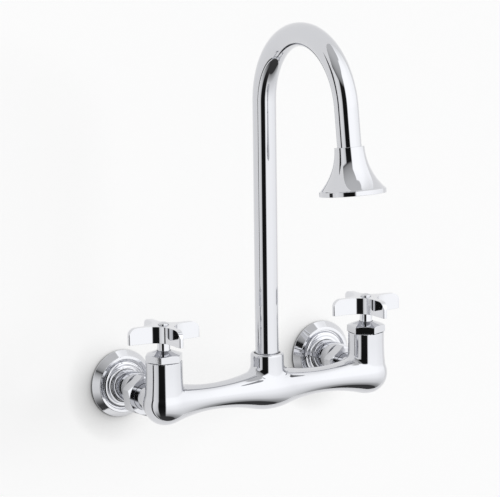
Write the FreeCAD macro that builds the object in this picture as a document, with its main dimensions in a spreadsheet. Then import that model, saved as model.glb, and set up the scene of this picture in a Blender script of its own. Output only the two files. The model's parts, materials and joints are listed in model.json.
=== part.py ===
"""Wall-mounted utility sink faucet: two cross-handle valves on a bridge casting, with a
swinging gooseneck spout that ends in a trumpet-shaped spray bell.

Millimetres. The origin is on the wall, midway between the two inlets.
X runs along the bridge to the cold side, Y into the wall, and Z up.
"""
import FreeCAD, Part
import math
import os
import Sketcher

# Driving sizes, in millimetres and degrees
SIZES = [
    # where things stand
    ("inlet_spacing", 203.2, "hot inlet axis to cold inlet axis"),
    ("wall_to_valve", 72.5, "wall face to the axes of valves and spout"),
    ("seam_height", 32.5, "inlet axis up to the top face of a valve tower"),
    ("bar_drop", 3.9, "bar and union axes below the inlet axis, by the eccentric adapters"),
    # bridge casting
    ("swell_radius", 18.1, "bar radius under the spout and under each valve"),
    ("waist_radius", 11.15, "bar radius at its slimmest"),
    ("waist_from_centre", 54.5, "spout axis to the slimmest place"),
    ("crest_curve", 64.0, "curve of the bar's swell under the spout"),
    ("end_curve", 30.0, "curve of the bar's swell beside a valve"),
    ("tower_radius", 15.55, "valve tower at its top face"),
    ("tower_foot_radius", 17.2, "valve tower at the bar axis"),
    ("tower_straight", 8.0, "straight stretch under the top face"),
    ("boss_height", 27.1, "inlet axis up to the top of the spout boss"),
    ("boss_radius", 14.2, "spout boss at its top"),
    ("boss_foot_radius", 16.0, "spout boss at the bar axis"),
    ("boss_straight", 6.0, "straight stretch at the top of the boss"),
    ("boss_rim_round", 2.2, "rounding of the boss's top edge"),
    ("boss_join", 5.0, "rounding where the boss meets the bar"),
    ("tower_join", 2.5, "rounding where a tower meets the bar"),
    ("spigot_radius", 12.4, "threaded neck for the bonnet nut"),
    ("spigot_height", 3.2, "threaded neck above the tower"),
    ("chamber_radius", 10.2, "valve chamber bore"),
    ("floor_height", 11.5, "inlet axis up to the chamber floor"),
    ("seat_hole_radius", 4.0, "water hole in the chamber floor"),
    ("riser_radius", 2.6, "side channel from the chamber to the bar"),
    ("riser_offset", 10.6, "side channel from the valve axis"),
    ("passage_radius", 6.5, "waterway along the bar"),
    ("inlet_passage_radius", 5.0, "waterway behind each valve"),
    # spout socket in the boss
    ("socket_radius", 10.3, "bore that the spout shank turns in"),
    ("socket_floor", 6.5, "inlet axis up to the socket's floor"),
    ("sleeve_recess_depth", 5.5, "recess for the wear sleeve"),
    # valve cartridge
    ("seal_thickness", 2.5, "rubber seat seal"),
    ("seal_radius", 7.6, "outside of the seat seal"),
    ("seal_hole_radius", 4.8, "hole of the seat seal"),
    ("disc_radius", 8.45, "fixed ceramic disc"),
    ("disc_thickness", 3.0, "each ceramic disc"),
    ("disc_port_radius", 1.8, "port in a ceramic disc"),
    ("disc_port_offset", 4.2, "port from the valve axis"),
    ("cartridge_wall", 1.5, "wall of the cartridge body round the discs"),
    ("ring_section", 1.0, "section radius of the larger sealing rings"),
    ("cartridge_cavity", 13.0, "height of the cavity for discs and stem foot"),
    ("cartridge_flange_radius", 11.9, "flange clamped by the bonnet nut"),
    ("cartridge_flange", 1.5, "thickness of that flange"),
    ("window_width", 7.0, "outlet window of the cartridge"),
    ("window_height", 5.0, "outlet window of the cartridge"),
    ("stem_radius", 3.8, "valve stem"),
    ("stem_foot_thickness", 3.0, "foot that turns the moving disc"),
    ("stem_ring_section", 0.7, "section radius of the stem's sealing ring"),
    # bonnet nut
    ("bonnet_corner_radius", 16.6, "hexagon corner of the bonnet nut"),
    ("bonnet_corner_height", 5.55, "height of the bonnet nut at a corner"),
    ("bonnet_height", 9.4, "height of its conical top at the neck hole"),
    ("hot_bonnet_angle", 51.5, "how far the hot side's nut is turned"),
    ("cold_bonnet_angle", 23.0, "how far the cold side's nut is turned"),
    # cross handle
    ("handle_rise", 17.0, "tower top face up to the underside of the arms"),
    ("handle_height", 14.0, "height of an arm at the hub"),
    ("arm_reach", 33.0, "valve axis to the tip of an arm"),
    ("arm_tip_width", 3.9, "thickness of an arm at its tip"),
    ("arm_taper", 3.0, "angle of each flank of an arm"),
    ("arm_corner", 7.5, "rounding of the arm's outer top corner"),
    ("web_round", 16.0, "hollow corner between two arms"),
    ("skirt_radius", 5.5, "neck of the handle that enters the bonnet nut"),
    ("handle_angle", -3.6, "how far the closed handle stands off square"),
    ("button_radius", 4.6, "index button"),
    ("button_stand", 2.5, "top of the button above the hub"),
    ("button_recess", 3.4, "recess for the button"),
    ("button_edge", 0.9, "straight edge of the button above the hub"),
    ("screw_head_radius", 3.3, "handle screw's head"),
    ("screw_head_height", 2.2, "handle screw's head"),
    ("screw_radius", 1.95, "handle screw's shank"),
    ("screw_length", 9.0, "shank below the head"),
    ("screw_socket_width", 2.5, "hexagon socket across its flats"),
    ("handle_web", 1.5, "web between the screw head and the stem"),
    # wall connection
    ("flange_radius", 29.0, "wall flange"),
    ("flange_edge", 1.0, "straight edge against the wall"),
    ("flange_bevel_radius", 24.6, "inner end of the bevel"),
    ("flange_bevel_height", 6.0, "height of the bevel"),
    ("flange_lip_radius", 21.9, "inner end of the rounded lip"),
    ("flange_lip_round", 1.6, "rounding of the lip"),
    ("flange_groove_height", 5.0, "floor of the groove inside the lip"),
    ("flange_step_radius", 20.0, "outside of the inner ring"),
    ("flange_step_height", 6.3, "height of the inner ring's edge"),
    ("flange_height", 8.4, "height of the flange at the neck"),
    ("flange_wall", 1.4, "thickness of the flange"),
    ("neck_radius", 13.7, "wall adapter's neck"),
    ("neck_from_wall", 1.5, "end of the adapter from the wall"),
    ("pipe_thread_radius", 10.3, "female half-inch pipe thread"),
    ("pipe_thread_depth", 16.0, "depth of that thread"),
    ("adapter_bore_radius", 6.2, "waterway of the adapter"),
    ("union_face", 35.5, "wall face to the adapter's sealing face"),
    ("union_thread_radius", 14.15, "thread that the coupling nut screws on"),
    ("union_thread_length", 5.5, "length of that thread"),
    ("union_washer", 1.5, "thickness of the union washer"),
    ("coupling_start", 30.5, "wall face to the back of the coupling nut"),
    ("coupling_length", 11.0, "length of the coupling nut"),
    ("coupling_flats", 31.4, "width of the coupling nut across its flats"),
    ("coupling_chamfer", 1.0, "chamfer of its corners"),
    ("coupling_angle", 38.0, "how far the coupling nut is turned"),
    ("shank_radius", 11.6, "inlet shank between nut and casting"),
    ("shank_flange_radius", 13.5, "shank's flange inside the nut"),
    ("shank_flange", 2.0, "thickness of that flange"),
    ("shank_thread_radius", 9.0, "shank's thread in the casting"),
    ("shank_thread_end", 8.5, "end of that thread from the valve axis"),
    ("shank_shoulder", 14.0, "shank's shoulder from the valve axis"),
    # spout
    ("tube_radius", 9.95, "gooseneck tube"),
    ("tube_wall", 1.2, "wall of the tube"),
    ("arch_height", 241.9, "inlet axis up to the start of the arch"),
    ("arch_radius", 61.9, "centreline radius of the arch"),
    ("arch_angle", 172.8, "how far the arch turns"),
    ("outlet_straight", 30.6, "end of the arch to the top of the bell"),
    ("tube_in_boss", 7.1, "tube inside the boss"),
    ("plug_length", 8.0, "length of a brazed plug inside the tube"),
    ("sleeve_radius", 11.6, "outside of the wear sleeve"),
    ("sleeve_sink", 0.6, "wear sleeve below the top of the boss"),
    ("snap_ring_reach", 0.9, "snap ring into the socket's groove"),
    ("snap_ring_thickness", 1.2, "snap ring"),
    ("snap_ring_gap", 4.0, "opening of the snap ring"),
    # spray bell
    ("collar_radius", 12.2, "bell at its top"),
    ("flare_curve", 49.0, "curve of the bell's flare"),
    ("flare_height", 34.2, "top of the bell down to the rim band"),
    ("flare_end_radius", 26.2, "bell where the rim band starts"),
    ("rim_radius", 27.4, "rim band"),
    ("rim_band", 4.4, "height of the rim band"),
    ("rim_round", 0.8, "rounding of the rim"),
    ("bell_wall", 1.6, "wall of the bell"),
    ("tube_in_bell", 9.0, "tube inside the bell"),
    ("nipple_length", 8.0, "thread that carries the bell"),
    ("bell_washer", 1.5, "thickness of the washer in the bell"),
    ("rose_radius", 24.4, "perforated rose face"),
    ("rose_thickness", 1.6, "rose face"),
    ("rose_sink", 0.8, "rose face above the bottom of the rim"),
    ("rose_hole_radius", 0.8, "hole of the rose face"),
    ("rose_ring_step", 5.4, "spacing of the rose's rings of holes"),
    # clearances
    ("running_gap", 0.05, "radial gap of a running or sliding fit"),
    ("ring_gap", 0.1, "radial gap round a sealing ring"),
    ("easy_gap", 0.25, "radial gap round a piece that only passes through"),
    ("open_gap", 0.35, "gap beside the handle's neck"),
    ("thrust_gap", 0.2, "end gap of a turning piece"),
]

ROOT_THREE = math.sqrt(3.0)
CUT_BEYOND = 5.0
THIN = 0.01
ROSE_HOLES = {1: 6, 2: 12, 3: 18, 4: 24}
SIDES = {"hot": -1, "cold": 1}

doc = FreeCAD.newDocument("UtilitySinkFaucet")
sheet = doc.addObject("Spreadsheet::Sheet", "Sizes")


class Size:
    """A length or an angle: the formula that binds it to the sheet, and its value."""

    def __init__(self, formula, value):
        self.formula = formula
        self.value = value

    def combine(self, other, sign, value):
        return Size("(%s %s %s)" % (self.formula, sign, as_size(other).formula), value)

    def __add__(self, other):
        return self.combine(other, "+", self.value + as_size(other).value)

    def __sub__(self, other):
        return self.combine(other, "-", self.value - as_size(other).value)

    def __mul__(self, other):
        return self.combine(other, "*", self.value * as_size(other).value)

    def __truediv__(self, other):
        return self.combine(other, "/", self.value / as_size(other).value)

    def __radd__(self, other):
        return as_size(other) + self

    def __rsub__(self, other):
        return as_size(other) - self

    def __rmul__(self, other):
        return as_size(other) * self

    def __neg__(self):
        return as_size(0) - self


def as_size(number):
    return number if isinstance(number, Size) else Size(repr(float(number)), float(number))


def cosine(angle):
    return Size("cos(%s)" % angle.formula, math.cos(math.radians(angle.value)))


def sine(angle):
    return Size("sin(%s)" % angle.formula, math.sin(math.radians(angle.value)))


class Sizes:
    """The driving sizes by name, each bound to its cell in the sheet."""

    def __init__(self, table):
        for row, (name, value, note) in enumerate(table, 1):
            sheet.set("A%d" % row, name)
            sheet.set("B%d" % row, repr(value))
            sheet.setAlias("B%d" % row, name)
            sheet.set("C%d" % row, note)
            setattr(self, name, Size("Sizes.%s" % name, value))
        doc.recompute()


s = Sizes(SIZES)
bodies = []


def bind(thing, prop, size):
    """Ties a property of a feature to a size."""
    thing.setExpression(prop, as_size(size).formula)


def piece(label, x=0, y=0, z=0, axis=None, angle=None):
    """A new sub-part whose own frame stands at x, y, z, turned by angle about axis."""
    body = doc.addObject("PartDesign::Body", label)
    body.Label = label
    if axis is not None:
        body.Placement.Rotation = FreeCAD.Rotation(axis, 1.0)
        bind(body, "Placement.Rotation.Angle", angle)
    for letter, place in zip("xyz", (x, y, z)):
        bind(body, "Placement.Base.%s" % letter, place)
    bodies.append(body)
    return body


def sketch_on(body, role, right=0, up=0, out=0):
    """A sketch on one of the body's own origin planes, shifted right, up and out."""
    sketch = body.newObject("Sketcher::SketchObject", "Sketch")
    planes = [f for f in body.Origin.OriginFeatures if f.Role == role]
    sketch.AttachmentSupport = (planes[0], [""])
    sketch.MapMode = "FlatFace"
    for letter, shift in zip("xyz", (right, up, out)):
        bind(sketch, "AttachmentOffset.Base.%s" % letter, shift)
    return sketch


def constrain(sketch, kind, *where, size):
    index = sketch.addConstraint(Sketcher.Constraint(kind, *where, size.value))
    bind(sketch, "Constraints[%d]" % index, size)


def arc_through(start, end, radius, turn):
    """The short arc from start to end that bends left (turn 1) or right (turn -1)."""
    chord = end - start
    left = FreeCAD.Vector(-chord.y, chord.x, 0).normalize()
    reach = math.sqrt(max(radius ** 2 - (chord.Length / 2) ** 2, 0.0))
    centre = (start + end) * 0.5 + left * (reach * turn)
    first, last = (start, end) if turn > 0 else (end, start)
    begin = math.atan2(first.y - centre.y, first.x - centre.x)
    finish = math.atan2(last.y - centre.y, last.x - centre.x)
    circle = Part.Circle(centre, FreeCAD.Vector(0, 0, 1), radius)
    return Part.ArcOfCircle(circle, begin, finish)


def draw(sketch, path):
    """A closed outline. Each step is (x, y) for a line to there, or
    (x, y, radius, turn) for an arc to there, and the last step ends at the first."""
    steps = [tuple(as_size(v) for v in step[:3]) + tuple(step[3:]) for step in path]
    corners = [FreeCAD.Vector(step[0].value, step[1].value, 0) for step in steps]
    heads = []
    tails = []
    for index, step in enumerate(steps[1:], 1):
        start = corners[index - 1]
        end = corners[index]
        if len(step) == 2:
            geo = sketch.addGeometry(Part.LineSegment(start, end))
            head, tail = 1, 2
        else:
            arc = arc_through(start, end, step[2].value, step[3])
            geo = sketch.addGeometry(arc)
            head, tail = (1, 2) if step[3] > 0 else (2, 1)
            constrain(sketch, "Radius", geo, size=step[2])
        heads.append((geo, head))
        tails.append((geo, tail))
    for head, tail, step in zip(heads, tails[-1:] + tails[:-1], steps[:-1]):
        sketch.addConstraint(Sketcher.Constraint("Coincident", *tail, *head))
        constrain(sketch, "DistanceX", -1, 1, *head, size=step[0])
        constrain(sketch, "DistanceY", -1, 1, *head, size=step[1])


def ogee(start, end, radius, along):
    """Two arcs that leave start and reach end parallel to one axis. The first has the
    given radius, and both share a tangent where they meet."""
    wide = 0 if along == "x" else 1
    run = as_size(end[wide]) - start[wide]
    rise = as_size(end[1 - wide]) - start[1 - wide]
    size = rise if rise.value > 0 else -rise
    both = (run * run + rise * rise) / (2 * size)
    share = as_size(radius) / both
    turn = 1 if run.value * rise.value > 0 else -1
    turn = turn if along == "x" else -turn
    middle = [start[0] + (as_size(end[0]) - start[0]) * share]
    middle.append(start[1] + (as_size(end[1]) - start[1]) * share)
    return [(*middle, radius, turn), (*end, both - radius, -turn)]


def ogee_back(start, end, radius):
    """The ogee that runs along x from start to end, drawn from end to start."""
    first, second = ogee(start, end, radius, "x")
    middle = first[:2]
    return [(*middle, second[2], -second[3]), (*start, radius, -first[3])]


def revolve(body, path, axis="V_Axis", role="XZ_Plane", cut=False, **shift):
    """Turns an outline about a sketch axis: adds it, or cuts it away."""
    sketch = sketch_on(body, role, **shift)
    draw(sketch, path)
    kind = "Groove" if cut else "Revolution"
    feature = body.newObject("PartDesign::%s" % kind, kind)
    feature.Profile = sketch
    feature.ReferenceAxis = (sketch, [axis])
    feature.Angle = 360.0
    return feature


def pad(body, sketch, height):
    feature = body.newObject("PartDesign::Pad", "Pad")
    feature.Profile = sketch
    bind(feature, "Length", height)
    return feature


def pocket(body, sketch, depth, upward=False):
    """Cuts downward from the sketch, or upward."""
    feature = body.newObject("PartDesign::Pocket", "Pocket")
    feature.Profile = sketch
    feature.Reversed = upward
    bind(feature, "Length", depth)
    return feature


def mirrored(path, right=1, up=1):
    """The same outline with its right or its up direction turned over (-1)."""
    turned = []
    for x, y, *arc in path:
        if arc:
            arc = [arc[0], arc[1] * right * up]
        turned.append((right * as_size(x), up * as_size(y), *arc))
    return turned


def block(radius, low, high):
    """Outline of a solid or a hole round the axis, from low to high."""
    return [(0, low), (radius, low), (radius, high), (0, high), (0, low)]


def ring(inner, outer, low, high):
    """Outline of a plain ring round the axis."""
    return [(inner, low), (outer, low), (outer, high), (inner, high), (inner, low)]


def hexagon(corner):
    """Six corners at this radius, with one on the X axis."""
    half = corner / 2
    side = corner * (ROOT_THREE / 2)
    points = [(corner, 0), (half, side), (-half, side), (-corner, 0)]
    points += [(-half, -side), (half, -side), (corner, 0)]
    return points


def circle(sketch, x, y, radius):
    place = FreeCAD.Vector(as_size(x).value, as_size(y).value, 0)
    normal = FreeCAD.Vector(0, 0, 1)
    geo = sketch.addGeometry(Part.Circle(place, normal, radius.value))
    constrain(sketch, "Radius", geo, size=radius)
    constrain(sketch, "DistanceX", -1, 1, geo, 3, size=as_size(x))
    constrain(sketch, "DistanceY", -1, 1, geo, 3, size=as_size(y))


def rubber_ring(label, centre_radius, section, **place):
    """A sealing ring of round section about the body's own Z axis."""
    body = piece(label, **place)
    sketch = sketch_on(body, "XZ_Plane")
    circle(sketch, centre_radius, 0, section)
    feature = body.newObject("PartDesign::Revolution", "Revolution")
    feature.Profile = sketch
    feature.ReferenceAxis = (sketch, ["V_Axis"])
    feature.Angle = 360.0
    return body


def fillet_edges(body, radius, wanted):
    """Rounds the edges of the body's last feature that the test picks."""
    doc.recompute()
    base = body.Tip
    names = ["Edge%d" % n for n, edge in enumerate(base.Shape.Edges, 1) if wanted(edge)]
    feature = body.newObject("PartDesign::Fillet", "Fillet")
    feature.Base = (base, names)
    bind(feature, "Radius", radius)
    return feature


UP = FreeCAD.Vector(0, 0, 1)
ACROSS = FreeCAD.Vector(1, 0, 0)
TO_USER = 90.0
half_spacing = s.inlet_spacing / 2

# Heights above the inlet axis that several pieces share
spigot_top = s.seam_height + s.spigot_height
flange_top = spigot_top + s.cartridge_flange
seal_top = s.floor_height + s.seal_thickness
fixed_disc_top = seal_top + s.disc_thickness
moving_disc_top = fixed_disc_top + s.disc_thickness
foot_top = moving_disc_top + s.stem_foot_thickness
cavity_top = seal_top + s.cartridge_cavity
handle_bottom = s.seam_height + s.handle_rise
handle_top = handle_bottom + s.handle_height
button_floor = handle_top - s.button_recess
head_floor = button_floor - s.screw_head_height - s.thrust_gap
stem_top = head_floor - s.handle_web - s.thrust_gap
cartridge_radius = s.disc_radius + s.running_gap + s.cartridge_wall
sleeve_floor = s.boss_height - s.sleeve_recess_depth
tube_foot = s.boss_height - s.tube_in_boss
shank_outside = s.socket_radius - s.running_gap
snap_ring_height = s.socket_floor + s.thrust_gap + 2 * s.snap_ring_thickness
rings_from = snap_ring_height + 2 * s.snap_ring_thickness
ring_spacing = (tube_foot - rings_from) / 2
spout_ring_heights = (rings_from + ring_spacing / 2, tube_foot - ring_spacing / 2)


def bridge_casting():
    """The hollow body: wavy bar, two valve towers and the spout boss in one casting."""
    body = piece("bridge_casting", y=-s.wall_to_valve, z=-s.bar_drop)
    lift = s.bar_drop
    seam = s.seam_height + lift
    crest = s.swell_radius
    waist = (s.waist_from_centre, s.waist_radius)
    left_waist = (-s.waist_from_centre, s.waist_radius)
    path = [(-half_spacing - crest, 0), (-half_spacing, crest, crest, -1)]
    path += ogee((-half_spacing, crest), left_waist, s.end_curve, "x")
    path += ogee_back((0, crest), left_waist, s.crest_curve)[:1]
    path += ogee((0, crest), waist, s.crest_curve, "x")
    path += ogee_back((half_spacing, crest), waist, s.end_curve)
    path += [(half_spacing + crest, 0, crest, -1)]
    path += [(-half_spacing - crest, 0)]
    revolve(body, mirrored(path, up=-1), axis="H_Axis")

    straight = seam - s.tower_straight
    foot = (s.tower_foot_radius, 0)
    tower = [(0, 0), foot]
    tower += ogee(foot, (s.tower_radius, straight), straight, "y")
    tower += [(s.tower_radius, seam), (s.spigot_radius, seam)]
    tower += [(s.spigot_radius, seam + s.spigot_height)]
    tower += [(0, seam + s.spigot_height), (0, 0)]
    for side in SIDES.values():
        revolve(body, mirrored(tower, right=side), right=side * half_spacing)

    boss_top = s.boss_height + lift
    boss_foot = (s.boss_foot_radius, 0)
    boss_neck = (s.boss_radius, boss_top - s.boss_straight)
    boss = [(0, 0), boss_foot]
    boss += ogee(boss_foot, boss_neck, boss_top, "y")
    boss += [(s.boss_radius, boss_top - s.boss_rim_round)]
    boss += [(s.boss_radius - s.boss_rim_round, boss_top, s.boss_rim_round, 1)]
    boss += [(0, boss_top), (0, 0)]
    revolve(body, boss, role="YZ_Plane")

    between = s.waist_from_centre.value
    below = (boss_top - s.boss_straight - s.boss_rim_round).value

    def joint(low_x, high_x):
        """Picks the edges between these two distances that run round a foot."""
        def wanted(edge):
            box = edge.BoundBox
            round_foot = box.YMax - box.YMin > THIN
            low_down = box.ZMin > THIN and box.ZMax < below
            return round_foot and low_down and low_x < abs(box.Center.x) < high_x
        return wanted

    fillet_edges(body, s.boss_join, joint(-1.0, between))
    fillet_edges(body, s.tower_join, joint(between, s.inlet_spacing.value))

    floor = s.floor_height + lift
    for side in SIDES.values():
        place = side * half_spacing
        chamber = block(s.chamber_radius, floor, seam + s.spigot_height + CUT_BEYOND)
        revolve(body, chamber, cut=True, right=place)
        seat_hole = block(s.seat_hole_radius, 0, floor + CUT_BEYOND)
        revolve(body, seat_hole, cut=True, right=place)
        riser = block(s.riser_radius, 0, cavity_top + lift)
        revolve(body, riser, cut=True, right=place - side * s.riser_offset)
        back = [(0, 0), (0, s.inlet_passage_radius)]
        back += [(s.shank_thread_end, s.inlet_passage_radius)]
        thread = s.shank_thread_radius + s.running_gap
        back += [(s.shank_thread_end, thread), (s.shank_shoulder, thread)]
        counterbore = s.shank_radius + s.running_gap
        back += [(s.shank_shoulder, counterbore)]
        reach = s.tower_foot_radius + CUT_BEYOND
        back += [(reach, counterbore), (reach, 0), (0, 0)]
        revolve(body, back, axis="H_Axis", role="YZ_Plane", cut=True, out=place)
    passage_end = half_spacing - s.riser_offset + s.riser_radius
    passage = [(-passage_end, 0), (-passage_end, s.passage_radius)]
    passage += [(passage_end, s.passage_radius), (passage_end, 0), (-passage_end, 0)]
    revolve(body, passage, axis="H_Axis", cut=True)

    socket_floor = s.socket_floor + lift
    groove_low = snap_ring_height + lift
    groove_high = groove_low + s.snap_ring_thickness + s.thrust_gap
    groove_radius = s.socket_radius + s.snap_ring_reach + s.ring_gap
    recess = s.sleeve_radius + s.running_gap
    socket = [(0, 0), (s.passage_radius, 0), (s.passage_radius, socket_floor)]
    socket += [(s.socket_radius, socket_floor), (s.socket_radius, groove_low)]
    socket += [(groove_radius, groove_low), (groove_radius, groove_high)]
    socket += [(s.socket_radius, groove_high), (s.socket_radius, sleeve_floor + lift)]
    socket += [(recess, sleeve_floor + lift), (recess, boss_top + CUT_BEYOND)]
    socket += [(0, boss_top + CUT_BEYOND), (0, 0)]
    revolve(body, socket, cut=True)


def bonnet_nut(side, place):
    """Low hexagon nut with a conical top that clamps the cartridge in its tower."""
    angle = s.hot_bonnet_angle if side == "hot" else s.cold_bonnet_angle
    body = piece(side + "_bonnet_nut", z=s.seam_height, axis=UP, angle=angle, **place)
    flats = sketch_on(body, "XY_Plane")
    draw(flats, hexagon(s.bonnet_corner_radius))
    pad(body, flats, s.bonnet_height)
    hole = s.skirt_radius + s.open_gap
    above = s.bonnet_height + CUT_BEYOND
    beyond = s.bonnet_corner_radius + CUT_BEYOND
    cone = [(hole, s.bonnet_height), (s.bonnet_corner_radius, s.bonnet_corner_height)]
    cone += [(beyond, s.bonnet_corner_height), (beyond, above), (hole, above)]
    cone += [(hole, s.bonnet_height)]
    revolve(body, cone, cut=True)
    thread = s.spigot_radius + s.running_gap
    shoulder = s.spigot_height + s.cartridge_flange
    inside = [(0, -CUT_BEYOND), (thread, -CUT_BEYOND)]
    inside += [(thread, shoulder), (hole, shoulder)]
    inside += [(hole, above), (0, above), (0, -CUT_BEYOND)]
    revolve(body, inside, cut=True)


def cartridge(side, place):
    """Quarter-turn ceramic cartridge: body, seat seal, two discs, stem and its rings."""
    body = piece(side + "_cartridge_body", **place)
    bore = s.stem_radius + s.running_gap
    cavity = s.disc_radius + s.running_gap
    groove_floor = s.chamber_radius - s.ring_gap - 2 * s.ring_section
    groove_middle = cavity_top + 2 * s.ring_section + s.cartridge_wall
    groove_low = groove_middle - s.ring_section - s.ring_gap
    groove_high = groove_middle + s.ring_section + s.ring_gap
    shell = [(cavity, seal_top), (cartridge_radius, seal_top)]
    shell += [(cartridge_radius, groove_low), (groove_floor, groove_low)]
    shell += [(groove_floor, groove_high), (cartridge_radius, groove_high)]
    shell += [(cartridge_radius, spigot_top), (s.cartridge_flange_radius, spigot_top)]
    shell += [(s.cartridge_flange_radius, flange_top), (bore, flange_top)]
    shell += [(bore, cavity_top), (cavity, cavity_top), (cavity, seal_top)]
    revolve(body, shell)
    window = sketch_on(body, "XY_Plane", out=moving_disc_top)
    half = s.window_width / 2
    reach = cartridge_radius + CUT_BEYOND
    draw(window, [(-reach, -half), (reach, -half), (reach, half), (-reach, half), (-reach, -half)])
    pocket(body, window, s.window_height, upward=True)
    rubber_ring(side + "_cartridge_ring", groove_floor + s.ring_section, s.ring_section,
                z=groove_middle, **place)

    seal = piece(side + "_seat_seal", **place)
    revolve(seal, ring(s.seal_hole_radius, s.seal_radius, s.floor_height, seal_top))

    fixed = piece(side + "_fixed_disc", z=seal_top, **place)
    revolve(fixed, block(s.disc_radius, 0, s.disc_thickness))
    drill_ports(fixed, along_x=True)

    moving = piece(side + "_moving_disc", z=fixed_disc_top, **place)
    revolve(moving, block(s.disc_radius - s.running_gap, 0, s.disc_thickness))
    drill_ports(moving, along_x=False)

    stem = piece(side + "_stem", **place)
    section = s.stem_ring_section
    seat = s.stem_radius - 2 * section
    groove = spigot_top - 2 * s.ring_section
    low = groove - section - s.ring_gap
    high = groove + section + s.ring_gap
    neck = (s.stem_radius + s.disc_radius) / 2
    hole = s.screw_radius + s.running_gap
    hole_floor = head_floor - s.screw_length - s.thrust_gap
    shape = [(0, moving_disc_top), (s.disc_radius - s.running_gap, moving_disc_top)]
    shape += [(s.disc_radius - s.running_gap, foot_top), (neck, foot_top)]
    shape += [(neck, cavity_top - s.thrust_gap)]
    shape += [(s.stem_radius, cavity_top - s.thrust_gap)]
    shape += [(s.stem_radius, low), (seat, low), (seat, high), (s.stem_radius, high)]
    shape += [(s.stem_radius, stem_top), (hole, stem_top), (hole, hole_floor)]
    shape += [(0, hole_floor), (0, moving_disc_top)]
    revolve(stem, shape)
    rubber_ring(side + "_stem_ring", seat + section, section, z=groove, **place)


def drill_ports(body, along_x):
    """Two water ports, one each side of the disc's centre."""
    ports = sketch_on(body, "XY_Plane")
    for sign in (-1, 1):
        offset = sign * s.disc_port_offset
        x, y = (offset, 0) if along_x else (0, offset)
        circle(ports, x, y, s.disc_port_radius)
    pocket(body, ports, s.disc_thickness, upward=True)


def cross_handle(side, place):
    """Four flat arms with hollow corners between them, on a round neck."""
    body = piece(side + "_handle", axis=UP, angle=s.handle_angle, **place)
    tip = s.arm_tip_width / 2
    slope = sine(s.arm_taper) / cosine(s.arm_taper)
    middle = (s.web_round / cosine(s.arm_taper) + tip + s.arm_reach * slope) / (1 + slope)
    root = middle - s.web_round * sine(s.arm_taper)
    half = middle - s.web_round * cosine(s.arm_taper)
    plan = [(s.arm_reach, -tip)]
    for cos, sin in ((1, 0), (0, 1), (-1, 0), (0, -1)):
        def turned(along, aside):
            return (cos * along - sin * aside, sin * along + cos * aside)
        plan.append(turned(s.arm_reach, tip))
        plan.append(turned(root, half))
        plan.append((*turned(half, root), s.web_round, -1))
        if (cos, sin) != (0, -1):
            plan.append(turned(tip, s.arm_reach))
    plan.append((s.arm_reach, -tip))
    arms = sketch_on(body, "XY_Plane", out=handle_bottom)
    draw(arms, plan)
    pad(body, arms, s.handle_height)
    neck_low = flange_top + s.thrust_gap + s.open_gap
    neck = [(0, neck_low), (s.skirt_radius, neck_low)]
    neck += [(s.skirt_radius, handle_bottom + s.button_recess)]
    neck += [(0, handle_bottom + s.button_recess), (0, neck_low)]
    revolve(body, neck)

    above = handle_top + CUT_BEYOND
    beyond = s.arm_reach + CUT_BEYOND
    trim = [(s.arm_reach - s.arm_corner, handle_top)]
    trim += [(s.arm_reach, handle_top - s.arm_corner, s.arm_corner, -1)]
    trim += [(beyond, handle_top - s.arm_corner), (beyond, above)]
    trim += [(s.arm_reach - s.arm_corner, above), (s.arm_reach - s.arm_corner, handle_top)]
    revolve(body, trim, cut=True)

    bore = s.stem_radius + s.running_gap
    bore_top = stem_top + s.thrust_gap
    hole = s.screw_radius + s.easy_gap
    head = s.screw_head_radius + s.easy_gap
    inside = [(0, neck_low - CUT_BEYOND), (bore, neck_low - CUT_BEYOND)]
    inside += [(bore, bore_top), (hole, bore_top), (hole, head_floor)]
    inside += [(head, head_floor), (head, button_floor)]
    inside += [(s.button_radius + s.running_gap, button_floor)]
    inside += [(s.button_radius + s.running_gap, above), (0, above)]
    inside += [(0, neck_low - CUT_BEYOND)]
    revolve(body, inside, cut=True)

    screw = piece(side + "_handle_screw", z=head_floor, axis=UP, angle=s.handle_angle, **place)
    shape = [(0, -s.screw_length), (s.screw_radius, -s.screw_length), (s.screw_radius, 0)]
    shape += [(s.screw_head_radius, 0), (s.screw_head_radius, s.screw_head_height)]
    shape += [(0, s.screw_head_height), (0, -s.screw_length)]
    revolve(screw, shape)
    socket = sketch_on(screw, "XY_Plane", out=s.screw_head_height)
    draw(socket, hexagon(s.screw_socket_width / ROOT_THREE))
    pocket(screw, socket, s.screw_head_height / 2)

    button = piece(side + "_index_button", z=button_floor, **place)
    edge = s.button_recess + s.button_edge
    top = s.button_recess + s.button_stand
    dome = top - edge
    curve = (s.button_radius * s.button_radius + dome * dome) / (2 * dome)
    cap = [(0, 0), (s.button_radius, 0), (s.button_radius, edge)]
    cap += [(0, top, curve, 1), (0, 0)]
    revolve(button, cap)


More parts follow.
